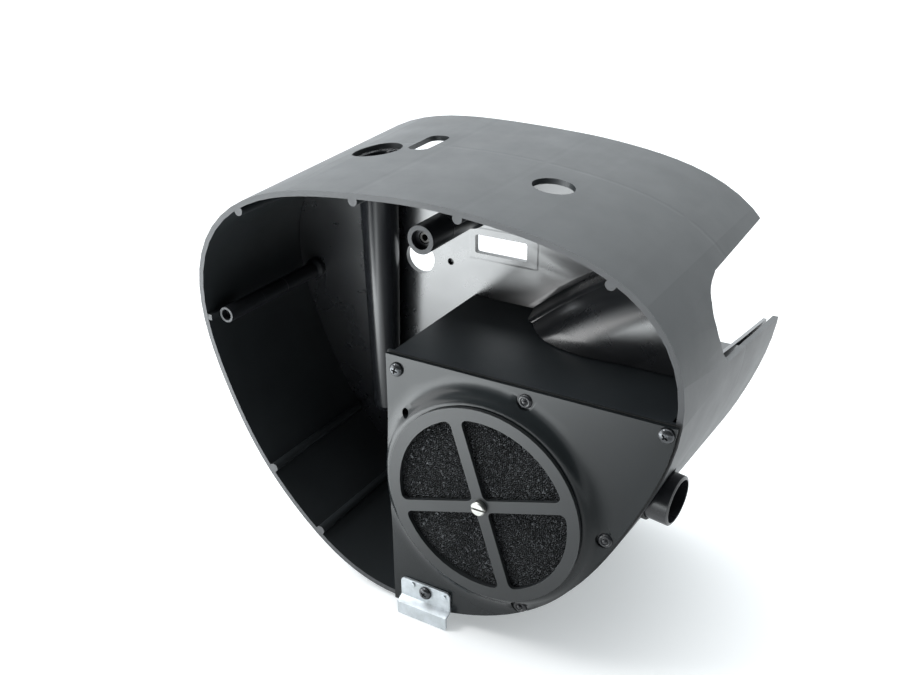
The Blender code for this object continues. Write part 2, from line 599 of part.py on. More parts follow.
def add_screw(name, place, seat, slot, length=10.0, head=2.6, slotted=False, radius=SCREW_HEAD_R):
    """Pan head screw along +Y whose head sits on seat, with a cross or a slot in the head."""
    x, z = place
    front = seat - head
    dome = [(radius * math.sin(turn), front + head * 0.75 * (1 - math.cos(turn))) for turn in
            (0.0, 0.45, 0.9, 1.25, math.pi / 2)]
    if slotted:
        dome = [(0, front), (radius - 0.6, front), (radius, front + 0.6)]
    profile = [*dome, (radius, seat), (SCREW_R - 0.1, seat), (SCREW_R - 0.1, seat + length - 1),
               (SCREW_R - 0.9, seat + length), (0, seat + length)]
    screw = add_object(name, turned(profile, 24, (x, z)), slot, (x, 0, z))
    long = radius + 1 if slotted else radius * 0.62
    recess = block(x - long, x + long, front - 1, front + 1.1, z - 0.5, z + 0.5)
    combine(screw, add_object(f"cut {name} slot", recess))
    if not slotted:
        cross = block(x - 0.5, x + 0.5, front - 1, front + 1.1, z - long, z + long)
        combine(screw, add_object(f"cut {name} cross", cross))
    return screw


def add_fasteners():
    for name, place in PLATE_SCREWS.items():
        add_screw(name, place, PLATE_FRONT - 0.15, "black_steel")
    add_screw("bracket_screw", BRACKET_SCREW, PLATE_FRONT - GAP - BRACKET - 0.15, "black_steel")
    add_screw("cover_screw", (0.0, 0.0), COVER_FRONT - 0.15, "nickel", 9.0, 2.8, True, 4.0)
    for name, place in RIVETS.items():
        seat = PLATE_FRONT - 0.15
        dome = [(RIVET_HEAD_R * math.sin(turn), seat - 2.0 * math.cos(turn)) for turn in
                (0.0, 0.4, 0.8, 1.2, math.pi / 2)]
        profile = [*dome, (RIVET_R, seat), (RIVET_R, FRAME_BACK + 1.5), (RIVET_R - 0.8, FRAME_BACK + 3.0),
                   (0, FRAME_BACK + 3.0)]
        add_object(name, turned(profile, 20, place), "moulding")


# ---- latch bracket ----

def add_latch_bracket():
    """Tab with a joggle: a flange on the plate and a lip that stands forward below the rim."""
    back = PLATE_FRONT - GAP
    path = [(back, BRACKET_TOP), (back, BRACKET_BEND), (back - BRACKET_STEP, BRACKET_BEND - 2.0),
            (back - BRACKET_STEP, BRACKET_LIP)]
    front = [(y - BRACKET, z) for y, z in path]
    front[1] = (path[1][0] - BRACKET, path[1][1] + 1.1)
    front[2] = (path[2][0] - BRACKET, path[2][1] + 1.1)
    side = path + front[::-1]
    bracket = add_object("latch_bracket", bar_along(side, BRACKET_LEFT, BRACKET_RIGHT, "X"), "zinc")
    corners = [(BRACKET_LEFT, BRACKET_LIP - 1), (BRACKET_RIGHT, BRACKET_LIP - 1), (BRACKET_RIGHT, BRACKET_TOP),
               (BRACKET_LEFT, BRACKET_TOP)]
    keep = rounded([Vector(corner) for corner in corners], 2.5, 3)
    combine(bracket, add_object("keep bracket corners", bar(keep, back - 20, back + 5)), "INTERSECT")
    hole = bar(circle(SCREW_R + 0.3, 16, BRACKET_SCREW), back - 5, back + 2)
    combine(bracket, add_object("cut bracket hole", hole))
    for index, place in enumerate(DIMPLES):
        pressed = bar(circle(1.7, 14, place), back - BRACKET - 0.8, back - BRACKET / 2)
        combine(bracket, add_object(f"bracket dimple {index}", pressed), "UNION")


# ---- blower ----

def scroll_outline(grow, steps=28):
    """Spiral of the blower, opening clockwise from the tongue to the outlet on the right."""
    sweep = 2 * math.pi - (math.pi / 2 - SCROLL_START)
    points = []
    for index in range(steps + 1):
        part = index / steps
        radius = SCROLL_START_R + (SCROLL_END_R - SCROLL_START_R) * part + grow
        turn = SCROLL_START - sweep * part
        points.append((radius * math.cos(turn), radius * math.sin(turn)))
    top = SCROLL_END_R + grow
    tongue = SCROLL_START_R * math.sin(SCROLL_START) - grow
    return points + [(OUTLET_X, top), (OUTLET_X, tongue)]


def add_blower():
    front, back = BLOWER_FRONT + BLOWER_WALL + GAP, BLOWER_BACK
    housing = add_object("blower_housing", bar(scroll_outline(BLOWER_WALL), front, back), "fan_plastic")
    inside = bar(scroll_outline(0.0), front - 2, back - BLOWER_WALL)
    combine(housing, add_object("cut scroll inside", inside))
    combine(housing, add_object("cut motor hole", bar(circle(BEARING_R + 1.5, 24), back - 6, back + 2)))
    outlet = bar_along(circle(9.0, 24, (OUTLET_Y, OUTLET_Z)), OUTLET_X - 8, OUTLET_X + 3, "X")
    combine(housing, add_object("cut outlet", outlet))
    for index in range(3):
        x, z = motor_screw_place(index)
        combine(housing, add_object(f"cut motor screw {index}", bar(circle(1.5, 12, (x, z), 0.1), back - 6, back + 2)))
    cover = add_object("blower_cover", bar(scroll_outline(BLOWER_WALL), BLOWER_FRONT, BLOWER_FRONT + BLOWER_WALL),
                       "fan_plastic")
    cup = [(PAD_R + GAP, FRAME_BACK + GAP), (PAD_R + 2, FRAME_BACK + GAP),
           (PAD_R + 2, BLOWER_FRONT + BLOWER_WALL), (PAD_R - 14, BLOWER_FRONT + BLOWER_WALL),
           (PAD_R - 14, BLOWER_FRONT), (PAD_R + GAP, BLOWER_FRONT)]
    combine(cover, add_object("pad cup", turned(cup, 40)), "UNION")
    combine(cover, add_object("cut inlet", bar(circle(INLET_R, 36), BLOWER_FRONT - 2, BLOWER_FRONT + 6)))


def add_impeller():
    front, back = BLOWER_FRONT + 5.0, BLOWER_BACK - BLOWER_WALL - 2.5
    disc = [(SHAFT_R + 0.1, back - 8), (6.0, back - 8), (7.0, back - 2), (IMPELLER_R, back - 1.5), (IMPELLER_R, back),
            (SHAFT_R + 0.1, back)]
    impeller = add_object("impeller", turned(disc, 36), "fan_plastic")
    rim = [(IMPELLER_R - 5, front), (IMPELLER_R, front), (IMPELLER_R, front + 1.5), (IMPELLER_R - 5, front + 1.5)]
    blades = turned(rim, 36)
    for index in range(BLADES):
        turn = Matrix.Rotation(2 * math.pi * index / BLADES, 4, "Y")
        arc = []
        for step in range(4):
            lean = math.radians(28) * step / 3
            radius = IMPELLER_R - 8.5 + 8.0 * step / 3
            arc.append((radius * math.cos(lean * 0.6), radius * math.sin(lean * 0.6)))
        inner = [(x, z + 0.9) for x, z in arc]
        blade = bar(arc + inner[::-1], front + 0.5, back - 0.7)
        blade.transform(turn)
        mesh = bpy.data.meshes.new("blade")
        blade.to_mesh(mesh)
        blade.free()
        blades.from_mesh(mesh)
        bpy.data.meshes.remove(mesh)
    cage = add_object("impeller cage", blades)
    step = combine(impeller, cage, "UNION").modifiers[-1]
    step.use_self = True


def motor_screw_place(index):
    turn = math.radians(90 + 120 * index)
    return (15.5 * math.cos(turn), 15.5 * math.sin(turn))


def add_motor():
    front, back = MOTOR_FRONT, MOTOR_FRONT + MOTOR_LENGTH
    cap = [(BEARING_R + 0.1, front), (MOTOR_R, front), (MOTOR_R, front + 3), (BEARING_R + 2, front + 3),
           (BEARING_R + 2, front + BEARING_WIDTH + 1), (SHAFT_R + 1, front + BEARING_WIDTH + 1),
           (SHAFT_R + 1, front + BEARING_WIDTH + 0.2), (BEARING_R + 0.1, front + BEARING_WIDTH + 0.2)]
    motor_cap = add_object("motor_cap", turned(cap, 36), "steel")
    for index in range(3):
        hole = bar(circle(1.5, 12, motor_screw_place(index), 0.1), front - 1, front + 4)
        combine(motor_cap, add_object(f"cut cap screw {index}", hole))
    can = [(MOTOR_R, front + 3 + GAP), (MOTOR_R, back - 1.5), (MOTOR_R - 1.5, back), (BEARING_R + 2, back),
           (BEARING_R + 2, back + 2), (0, back + 2), (0, back + 0.7), (BEARING_R + 0.1, back + 0.7),
           (BEARING_R + 0.1, back - 1.5), (MOTOR_R - 1.6, back - 1.5), (MOTOR_R - 1.6, front + 3 + GAP)]
    add_object("motor_can", turned(can, 36), "steel")
    magnet = [(MOTOR_R - 5, front + 9), (MOTOR_R - 1.8, front + 9), (MOTOR_R - 1.8, back - 5), (MOTOR_R - 5, back - 5)]
    add_object("motor_magnet", turned(magnet, 32), "magnet")
    armature = [(SHAFT_R + 0.1, front + 9), (MOTOR_R - 7, front + 9), (MOTOR_R - 6, front + 10),
                (MOTOR_R - 6, back - 6), (MOTOR_R - 7, back - 5), (SHAFT_R + 0.1, back - 5)]
    add_object("motor_armature", turned(armature, 32), "copper")
    shaft = [(0, BLOWER_BACK - 14), (SHAFT_R, BLOWER_BACK - 13.5), (SHAFT_R, back - 0.5), (0, back)]
    add_object("motor_shaft", turned(shaft, 20), "steel")
    for name, start in (("motor_bearing_front", front + 0.1), ("motor_bearing_rear", back - 4.6)):
        ring = [(SHAFT_R + 0.1, start), (BEARING_R, start), (BEARING_R, start + BEARING_WIDTH),
                (SHAFT_R + 0.1, start + BEARING_WIDTH)]
        add_object(name, turned(ring, 24), "steel")
    for index in range(3):
        x, z = motor_screw_place(index)
        seat = BLOWER_BACK - BLOWER_WALL - 0.1
        profile = [(0, seat - 1.4), (1.6, seat - 1.4), (2.4, seat - 0.5), (2.4, seat), (1.3, seat), (1.3, front + 5.5),
                   (0, front + 5.5)]
        add_object(f"motor_screw_{index + 1}", turned(profile, 14, (x, z)), "steel")


# ---- spigot ----

def add_spigot():
    bore = SPIGOT_R - SPIGOT_WALL
    tube = [(bore, 0), (bore + 0.4, 0), (SPIGOT_R, -0.6), (SPIGOT_R, -SPIGOT_LENGTH), (bore, -SPIGOT_LENGTH)]
    add_object("hose_spigot", aim(turned(tube, 40), SPIGOT_END, SPIGOT_AXIS), "moulding")
    seal = [(SPIGOT_R + 0.2, -15.0), (SPIGOT_R + 1.4, -15.0), (SPIGOT_R + 1.4, -11.5), (SPIGOT_R + 0.2, -11.5)]
    add_object("spigot_seal", aim(turned(seal, 32), SPIGOT_END, SPIGOT_AXIS), "rubber")
    inner_end = SPIGOT_END - SPIGOT_AXIS * (SPIGOT_LENGTH + GAP)
    start = Vector((OUTLET_X + BLOWER_WALL + GAP, OUTLET_Y, OUTLET_Z))
    add_object("blower_hose", bent_sleeve(start, Vector((1, 0, 0)), inner_end, SPIGOT_AXIS, 11.0, 1.6), "rubber")


def bent_sleeve(start, first_way, end, last_way, radius, wall, steps=6, sides=18):
    """Tube that leaves start along first_way and reaches end along last_way."""
    reach = (end - start).length * 0.4
    handles = (start, start + first_way * reach, end - last_way * reach, end)
    rings = []
    for step in range(steps + 1):
        part = step / steps
        rest = 1 - part
        centre = (handles[0] * rest ** 3 + handles[1] * 3 * rest ** 2 * part
                  + handles[2] * 3 * rest * part ** 2 + handles[3] * part ** 3)
        way = first_way.lerp(last_way, part).normalized()
        side = way.cross(Vector((0, 0, 1))).normalized()
        up = side.cross(way)
        rings.append((centre, side, up))
    bm = bmesh.new()

    def loop(ring, size):
        centre, side, up = ring
        return [centre + (side * point.x + up * point.y) * size for point in circle(1.0, sides)]
    outside = [loop(ring, radius) for ring in rings]
    inside = [loop(ring, radius - wall) for ring in rings]
    return skin(bm, outside + inside[::-1], closed=True)


def build():
    clear_scene()
    add_outer_shell()
    add_rear_panel()
    add_socket_tube()
    for name, sizes in POSTS.items():
        add_post(name, *sizes)
    add_filter_box()
    add_plate_seal()
    add_front_plate()
    add_filter_cover()
    add_filter_stack()
    add_latch_bracket()
    add_fasteners()
    add_blower()
    add_impeller()
    add_motor()
    add_spigot()


build()
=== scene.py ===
"""Looks of the open solder fume extractor housing: materials, fine surfaces, light and camera.

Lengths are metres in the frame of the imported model: +X right, +Y to the rear, +Z up, with the blower's
axis along Y through the origin. MM turns millimetres into metres.
"""
import json
import math
import random

import bmesh
import bpy
import numpy as np
from mathutils import Matrix, Vector
from mathutils.kdtree import KDTree


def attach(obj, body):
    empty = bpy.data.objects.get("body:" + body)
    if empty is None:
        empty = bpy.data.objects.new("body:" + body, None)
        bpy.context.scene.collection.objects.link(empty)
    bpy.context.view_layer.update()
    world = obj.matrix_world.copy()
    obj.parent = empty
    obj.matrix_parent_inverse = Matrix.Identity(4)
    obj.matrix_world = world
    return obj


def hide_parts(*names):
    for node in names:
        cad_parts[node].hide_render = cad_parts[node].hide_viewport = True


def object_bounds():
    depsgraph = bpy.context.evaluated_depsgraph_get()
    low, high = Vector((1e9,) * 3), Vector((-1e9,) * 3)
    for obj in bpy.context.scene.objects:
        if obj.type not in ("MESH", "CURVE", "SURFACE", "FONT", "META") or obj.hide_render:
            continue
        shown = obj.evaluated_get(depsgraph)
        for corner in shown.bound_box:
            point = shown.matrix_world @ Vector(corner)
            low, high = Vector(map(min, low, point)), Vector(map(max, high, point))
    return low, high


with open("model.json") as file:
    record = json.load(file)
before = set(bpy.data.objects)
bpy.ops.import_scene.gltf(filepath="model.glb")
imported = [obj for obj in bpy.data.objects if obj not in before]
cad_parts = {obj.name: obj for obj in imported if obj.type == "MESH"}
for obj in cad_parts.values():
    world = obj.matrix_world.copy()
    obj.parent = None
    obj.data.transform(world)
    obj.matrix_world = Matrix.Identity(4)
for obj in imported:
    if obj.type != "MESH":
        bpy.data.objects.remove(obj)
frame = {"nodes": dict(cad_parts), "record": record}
cad_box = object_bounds()

MM = 0.001
SEED = 7
CAMERA_PLACE = Vector((217.8, -489.7, 303.9)) * MM
CAMERA_AZIMUTH, CAMERA_ELEVATION = math.radians(31.21), math.radians(25.27)
CAMERA_ROLL = math.radians(-0.6375)
CAMERA_LENS, SENSOR_WIDTH = 42.2, 36.0       # mm

# Studio: lengths in m, and strengths of glow
FLOOR_HALF = 12.0
# Painted pool of light: the floor's glow runs from FLOOR_GLOW far off up to POOL_GLOW at POOL_CENTRE, within
# POOL_REACH
FLOOR_GLOW, POOL_GLOW = 0.35, 12.0
POOL_CENTRE, POOL_REACH = (-0.42, -0.50), 0.60
# Painted shadow on the floor at the front right: centre, inner and outer reach in m, and the share of colour
# and glow left at its middle
SHADE_CENTRE, SHADE_INNER, SHADE_OUTER, SHADE_SHARE = (0.22, -0.38), 0.12, 0.30, 0.40
FLOOR_DROP = 0.5             # mm below the object
SKY_DIRECTION, SKY_DARK, SKY_BRIGHT = (-0.47, 0.77, 0.43), 0.08, 2.1

# Places and sizes that the object's surfaces depend on, in mm and degrees
OUTLINE_CENTRE = (-44.0, 30.0)
TOP_RIBS = (137.5, 105.9, 77.8, 44.4)
FRONT_RIM, REAR_RIM = -92.5, 62.5
PANEL_PAD = (-63.0, -20.0, 89.5, 108.0)      # left, right, bottom, top
POST_ENDS = (-59.5, -88.0)
POST_STEP = -38.5
SCREW_HEAD, SHANK_R, RECESS_DEPTH = 2.6, 1.8, 1.6
SCREW_TURNS = {"plate_screw_left": 0.2, "plate_screw_right": 0.7, "bracket_screw": 0.5}      # radians
RIVETS = ("rivet_top", "rivet_right", "rivet_bottom")
RIVET_FLANGE = ((0.0, 0.0), (0.5, 0.05), (1.0, 0.25), (1.35, 0.6), (1.5, 1.1), (1.75, 1.15), (2.0, 0.85),
                (2.4, 0.7), (2.9, 0.8), (3.3, 1.1), (3.6, 1.5), (3.7, 2.0), (1.6, 2.0))      # radius, depth
FOAM_CELL, FOAM_STEP, FOAM_PORE, FOAM_SUNK = 1.0, 0.36, 1.0, 0.3
FOAM_JITTER, FOAM_STRAND = 0.85, 0.55        # shares of a cell
EDGE_RADIUS = {"outer_shell": 0.4, "rear_panel": 0.4, "filter_box": 0.4, "front_plate": 0.3,
               "filter_cover": 0.9, "latch_bracket": 0.3, "socket_tube": 0.3, "top_post": 0.3,
               "side_post": 0.3, "hose_spigot": 0.3}
SMALL_EDGE_RADIUS = 0.12
WELD, FLAT_ANGLE, SMOOTH_ANGLE = 0.002, 0.6, 32.0

PANEL_ROUGHNESS, COAT_ROUGHNESS = 0.28, 0.1
SAWN_COLOUR = (0.055, 0.057, 0.060)
SCRATCH = 0.006              # mm
SPECIAL_MATERIAL = {"rear_panel": "panel", "top_post": "post", "side_post": "post",
                    "filter_box": "box", "filter_cover": "cover",
                    "top_post_insert": "insert", "side_post_insert": "insert"}

BODY_OF = {node: body for body, nodes in frame["record"]["behaviour"]["bodies"].items() for node in nodes}
SLOT_OF = {entry["node"]: entry["material_slot"] for entry in frame["record"]["subparts"]}


def node_box(node_name):
    """Least and greatest corner of a node, in mm."""
    points = np.array([tuple(vertex.co) for vertex in frame["nodes"][node_name].data.vertices]) / MM
    return points.min(axis=0), points.max(axis=0)


# ---- material nodes ----

def node(tree, kind, settings=None, **inputs):
    """Add a shader node; an input may be a value or another node's output."""
    made = tree.nodes.new("ShaderNode" + kind)
    for key, value in (settings or {}).items():
        setattr(made, key, value)
    for key, value in inputs.items():
        numbered = key[0] == "i" and key[1:].isdigit()
        socket = made.inputs[int(key[1:]) if numbered else key.replace("_", " ")]
        if isinstance(value, bpy.types.NodeSocket):
            tree.links.new(value, socket)
        else:
            socket.default_value = value
    return made


def math_node(tree, operation, first, second=0.0, third=0.0):
    return node(tree, "Math", {"operation": operation}, i0=first, i1=second, i2=third).outputs[0]


def noise(tree, coords, scale, detail=2.0, roughness=0.5):
    return node(tree, "TexNoise", Vector=coords, Scale=scale, Detail=detail, Roughness=roughness).outputs[0]


def stretched(tree, coords, scale):
    return node(tree, "Mapping", Vector=coords, Scale=scale).outputs[0]


def ramp(tree, value, low, high, start=0.0, end=1.0, kind="LINEAR"):
    """Map low..high onto start..end, held beyond both ends."""
    return node(tree, "MapRange", {"interpolation_type": kind}, Value=value, From_Min=low, From_Max=high,
                To_Min=start, To_Max=end).outputs[0]


def blend_colour(tree, share, first, second):
    mixer = tree.nodes.new("ShaderNodeMix")
    mixer.data_type = "RGBA"
    for socket, value in ((mixer.inputs[0], share), (mixer.inputs[6], first), (mixer.inputs[7], second)):
        if isinstance(value, bpy.types.NodeSocket):
            tree.links.new(value, socket)
        else:
            socket.default_value = value if isinstance(value, float) else (*value, 1.0)
    return mixer.outputs[2]


def bump(tree, height, distance, strength=1.0, normal=None):
    made = node(tree, "Bump", Height=height, Distance=distance, Strength=strength)
    if normal:
        tree.links.new(normal, made.inputs["Normal"])
    return made.outputs[0]


def start_material(name, metallic=0.0, specular=0.5, coat=0.0):
    made = bpy.data.materials.new(name)
    made.use_nodes = True
    tree = made.node_tree
    shader = tree.nodes["Principled BSDF"]
    shader.inputs["Metallic"].default_value = metallic
    shader.inputs["Specular IOR Level"].default_value = specular
    shader.inputs["Coat Weight"].default_value = coat
    shader.inputs["Coat Roughness"].default_value = COAT_ROUGHNESS
    coords = node(tree, "TexCoord").outputs["Object"]
    return made, tree, shader, coords


def finish_material(tree, shader, colour, roughness, normal):
    tree.links.new(colour, shader.inputs["Base Color"])
    tree.links.new(roughness, shader.inputs["Roughness"])
    tree.links.new(normal, shader.inputs["Normal"])


def shade(colour, factor):
    return tuple(min(1.0, channel * factor) for channel in colour)


def plastic(name, colour, roughness, grain=0.010, wave=0.12, specular=0.5):
    """Moulded black plastic: eroded grain, slow waves where it shrank, cloudy gloss and a little dust."""
    made, tree, shader, coords = start_material(name, specular=specular)
    cloud = noise(tree, coords, 28.0, 3.0)
    base = blend_colour(tree, ramp(tree, cloud, 0.3, 0.7), shade(colour, 0.88), shade(colour, 1.14))
    dust = ramp(tree, noise(tree, coords, 1400.0, 1.0), 0.77, 0.82, 0.0, 0.06)
    base = blend_colour(tree, dust, base, shade(colour, 4.0))
    rubbed = noise(tree, coords, 45.0, 4.0, 0.6)
    gloss = ramp(tree, rubbed, 0.25, 0.75, roughness - 0.03, roughness + 0.04)
    slow = bump(tree, noise(tree, coords, 14.0, 1.0), wave * MM)
    fine = bump(tree, noise(tree, coords, 2600.0, 2.0), grain * MM, 0.6, slow)
    finish_material(tree, shader, base, gloss, fine)
    return made


def socket_value(shader, name):
    """What feeds a shader's socket at the moment."""
    return shader.inputs[name].links[0].from_socket


def with_pale_ends(made, ends):
    """Make the sawn faces across Y, at the given places in mm, paler and rougher than the moulded skin."""
    tree = made.node_tree
    shader = tree.nodes["Principled BSDF"]
    depth = node(tree, "SeparateXYZ", Vector=node(tree, "TexCoord").outputs["Object"]).outputs["Y"]
    sawn = None
    for end in ends:
        off = math_node(tree, "ABSOLUTE", math_node(tree, "SUBTRACT", depth, end * MM))
        face = ramp(tree, off, 0.06 * MM, 0.14 * MM, 1.0, 0.0)
        sawn = face if sawn is None else math_node(tree, "MAXIMUM", sawn, face)
    paler = blend_colour(tree, sawn, socket_value(shader, "Base Color"), SAWN_COLOUR)
    tree.links.new(paler, shader.inputs["Base Color"])
    rougher = math_node(tree, "MULTIPLY_ADD", sawn, 0.2, socket_value(shader, "Roughness"))
    tree.links.new(rougher, shader.inputs["Roughness"])
    return made


def with_raised(made, height, distance):
    """Add a height to a material's surface by bump, over a distance in mm."""
    tree = made.node_tree
    shader = tree.nodes["Principled BSDF"]
    raised = bump(tree, height, distance * MM, 1.0, socket_value(shader, "Normal"))
    tree.links.new(raised, shader.inputs["Normal"])
    return made


def metal(name, colour, roughness, along=(60.0, 60.0, 2400.0), tint=None, metallic=1.0):
    """Plated or plain metal with fine draw lines, blotchy passivation and varied gloss."""
    made, tree, shader, coords = start_material(name, metallic=metallic)
    blotch = noise(tree, coords, 160.0, 4.0, 0.6)
    base = blend_colour(tree, ramp(tree, blotch, 0.35, 0.65), shade(colour, 0.88),
                        tint or shade(colour, 1.06))
    lines = noise(tree, stretched(tree, coords, along), 1.0, 5.0, 0.7)
    gloss = ramp(tree, lines, 0.2, 0.8, roughness - 0.07, roughness + 0.10)
    normal = bump(tree, lines, SCRATCH * MM, 0.8)
    finish_material(tree, shader, base, gloss, normal)
    return made


def foam_material(name, colour):
    """Open-cell foam: shiny strands round pores, with painted light and shade: paler at the crests, dark with
    depth into the pores.
    """
    made, tree, shader, coords = start_material(name, specular=0.4)
    depth = node(tree, "SeparateXYZ", Vector=coords).outputs["Y"]
    front = node_box("foam_filter")[0][1]
    # Painted light and shade: 1 at the front crests, falling to 0 deeper in the pores; the same share also
    # sets the gloss
    painted_lit_crest = ramp(tree, depth, front * MM, (front + 0.45) * MM, 1.0, 0.0)
    uneven = noise(tree, coords, 2600.0, 1.0, 0.5)
    painted_lit_crest = math_node(tree, "MULTIPLY", painted_lit_crest, ramp(tree, uneven, 0.42, 0.58, 0.25, 1.0))
    # Painted shade darkens the pores and painted light makes the crests paler
    base = blend_colour(tree, painted_lit_crest, shade(colour, 0.12), shade(colour, 7.5))
    gloss = ramp(tree, painted_lit_crest, 0.0, 1.0, 0.9, 0.35)
    normal = bump(tree, noise(tree, coords, 1800.0, 2.0), 0.12 * MM, 1.0)
    finish_material(tree, shader, base, gloss, normal)
    return made


def fibre_material(name, colour):
    """Matted fibre with grains held in it."""
    made, tree, shader, coords = start_material(name, specular=0.3)
    fibres = noise(tree, stretched(tree, coords, (500.0, 500.0, 2200.0)), 1.0, 6.0, 0.75)
    grains = node(tree, "TexVoronoi", Vector=coords, Scale=900.0).outputs[0]
    base = blend_colour(tree, ramp(tree, fibres, 0.35, 0.7), shade(colour, 0.5), shade(colour, 3.0))
    gloss = ramp(tree, grains, 0.1, 0.6, 0.45, 0.95)
    normal = bump(tree, fibres, 0.3 * MM, 1.0, bump(tree, grains, 0.2 * MM, 0.6))
    finish_material(tree, shader, base, gloss, normal)
    return made


def copper_material(name, colour):
    """Varnished winding laid in turns along the axis, between dark laminations."""
    made, tree, shader, coords = start_material(name, metallic=0.8, coat=0.4)
    turns = node(tree, "TexWave", {"bands_direction": "Y"}, Vector=coords, Scale=420.0, Distortion=1.5,
                 Detail=2.0).outputs["Fac"]
    base = blend_colour(tree, turns, shade(colour, 0.45), shade(colour, 1.1))
    gloss = ramp(tree, noise(tree, coords, 300.0), 0.3, 0.7, 0.28, 0.45)
    finish_material(tree, shader, base, gloss, bump(tree, turns, 0.15 * MM, 0.8))
    return made


def shell_material(name, colour):
    """The shell's plastic, with pale sawn rims and shallow sink lines over the ribs and the rear panel."""
    skin = plastic(name, colour, 0.42, grain=0.012, wave=0.16, specular=0.42)
    made = with_pale_ends(skin, (FRONT_RIM, REAR_RIM))
    tree = made.node_tree
    place = node(tree, "SeparateXYZ", Vector=node(tree, "TexCoord").outputs["Object"])
    above = math_node(tree, "SUBTRACT", place.outputs["Z"], OUTLINE_CENTRE[1] * MM)
    beside = math_node(tree, "SUBTRACT", place.outputs["X"], OUTLINE_CENTRE[0] * MM)
    angle = math_node(tree, "ARCTAN2", above, beside)
    sink = ramp(tree, math_node(tree, "ABSOLUTE", math_node(tree, "ADD", place.outputs["Y"], 1.2 * MM)),
                0.3 * MM, 2.2 * MM, 1.0, 0.0)
    for rib in TOP_RIBS:
        off = math_node(tree, "ABSOLUTE", math_node(tree, "SUBTRACT", angle, math.radians(rib)))
        sink = math_node(tree, "MAXIMUM", sink, ramp(tree, off, 0.004, 0.022, 1.0, 0.0))
    return with_raised(made, math_node(tree, "MULTIPLY", sink, -1.0), 0.05)


def panel_material(name, colour):
    """Glossy moulded panel with a shallow pad pressed round its window."""
    made = plastic(name, colour, PANEL_ROUGHNESS, grain=0.001, wave=0.04, specular=0.95)
    tree = made.node_tree
    place = node(tree, "SeparateXYZ", Vector=node(tree, "TexCoord").outputs["Object"])
    left, right, bottom, top = (edge * MM for edge in PANEL_PAD)
    across = math_node(tree, "SUBTRACT", math_node(tree, "ABSOLUTE", math_node(
        tree, "SUBTRACT", place.outputs["X"], (left + right) / 2)), (right - left) / 2)
    along = math_node(tree, "SUBTRACT", math_node(tree, "ABSOLUTE", math_node(
        tree, "SUBTRACT", place.outputs["Z"], (bottom + top) / 2)), (top - bottom) / 2)
    outside = math_node(tree, "MAXIMUM", across, along)
    return with_raised(made, ramp(tree, outside, -0.5 * MM, 0.5 * MM, 1.0, 0.0), 0.07)


def post_material(name, colour):
    """Moulded posts with pale ends, and a fine step where the mould's core ended."""
    made = with_pale_ends(plastic(name, colour, 0.42, grain=0.004, specular=0.35), POST_ENDS)
    tree = made.node_tree
    depth = node(tree, "SeparateXYZ", Vector=node(tree, "TexCoord").outputs["Object"]).outputs["Y"]
    off = math_node(tree, "ABSOLUTE", math_node(tree, "SUBTRACT", depth, POST_STEP * MM))
    return with_raised(made, ramp(tree, off, 0.1 * MM, 0.6 * MM, 1.0, 0.0), 0.3)


def make_materials():
    colours = {entry["slot"]: entry["base_color"][:3] for entry in frame["record"]["materials"]}
    return {
        "shell": shell_material("shell_plastic", (0.019, 0.022, 0.024)),
        "moulding": plastic("moulding_plastic", (0.012, 0.013, 0.015), 0.24, grain=0.003, wave=0.10,
                            specular=0.42),
        "box": plastic("box_plastic", (0.020, 0.024, 0.027), 0.40, grain=0.004, wave=0.25, specular=0.4),
        "panel": panel_material("panel_plastic", (0.012, 0.013, 0.015)),
        "post": post_material("post_plastic", (0.010, 0.011, 0.013)),
        "plate": plastic("plate_plastic", (0.010, 0.012, 0.013), 0.20, grain=0.002, wave=0.30, specular=0.26),
        "cover": plastic("cover_plastic", (0.020, 0.022, 0.023), 0.32, grain=0.008, wave=0.10, specular=0.34),
        "fan_plastic": plastic("fan_plastic", (0.028, 0.028, 0.031), 0.42),
        "rubber": plastic("soft_rubber", (0.010, 0.010, 0.010), 0.62, grain=0.03),
        "magnet": plastic("magnet_ferrite", (0.05, 0.05, 0.052), 0.5, grain=0.05),
        "foam": foam_material("open_cell_foam", (0.010, 0.011, 0.012)),
        "carbon": fibre_material("carbon_fibre_mat", (0.020, 0.020, 0.020)),
        "zinc": metal("zinc_plate", (0.54, 0.58, 0.60), 0.44, along=(1800.0, 90.0, 90.0),
                      tint=(0.60, 0.64, 0.67), metallic=0.85),
        "nickel": metal("nickel_plate", (0.40, 0.40, 0.38), 0.34, along=(90.0, 1500.0, 90.0)),
        "black_steel": metal("black_oxide", (0.075, 0.078, 0.082), 0.20, metallic=0.8),
        "insert": metal("dark_insert", (0.035, 0.034, 0.032), 0.45, metallic=0.6),
        "brass": metal("turned_brass", (0.72, 0.54, 0.24), 0.26, along=(90.0, 2600.0, 90.0)),
        "steel": metal("plain_steel", (0.56, 0.57, 0.58), 0.30, along=(90.0, 1800.0, 90.0)),
        "copper": copper_material("winding_copper", colours["copper"]),
    }


MATERIALS = make_materials()


# ---- pieces ----

def material_of(node_name):
    return MATERIALS[SPECIAL_MATERIAL.get(node_name, SLOT_OF[node_name])]


def link_piece(name, mesh, node_name):
    """Put a mesh in the scene as a piece that rides with the node's body and stands for the node."""
    piece = bpy.data.objects.new(name, mesh)
    bpy.context.scene.collection.objects.link(piece)
    mesh.materials.clear()
    mesh.materials.append(material_of(node_name))
    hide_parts(node_name)
    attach(piece, BODY_OF[node_name])
    return piece


def apply_modifiers(piece):
    """Turn a piece's modifiers into mesh."""
    graph = bpy.context.evaluated_depsgraph_get()
    graph.update()
    mesh = bpy.data.meshes.new_from_object(piece.evaluated_get(graph))
    piece.modifiers.clear()
    piece.data = mesh


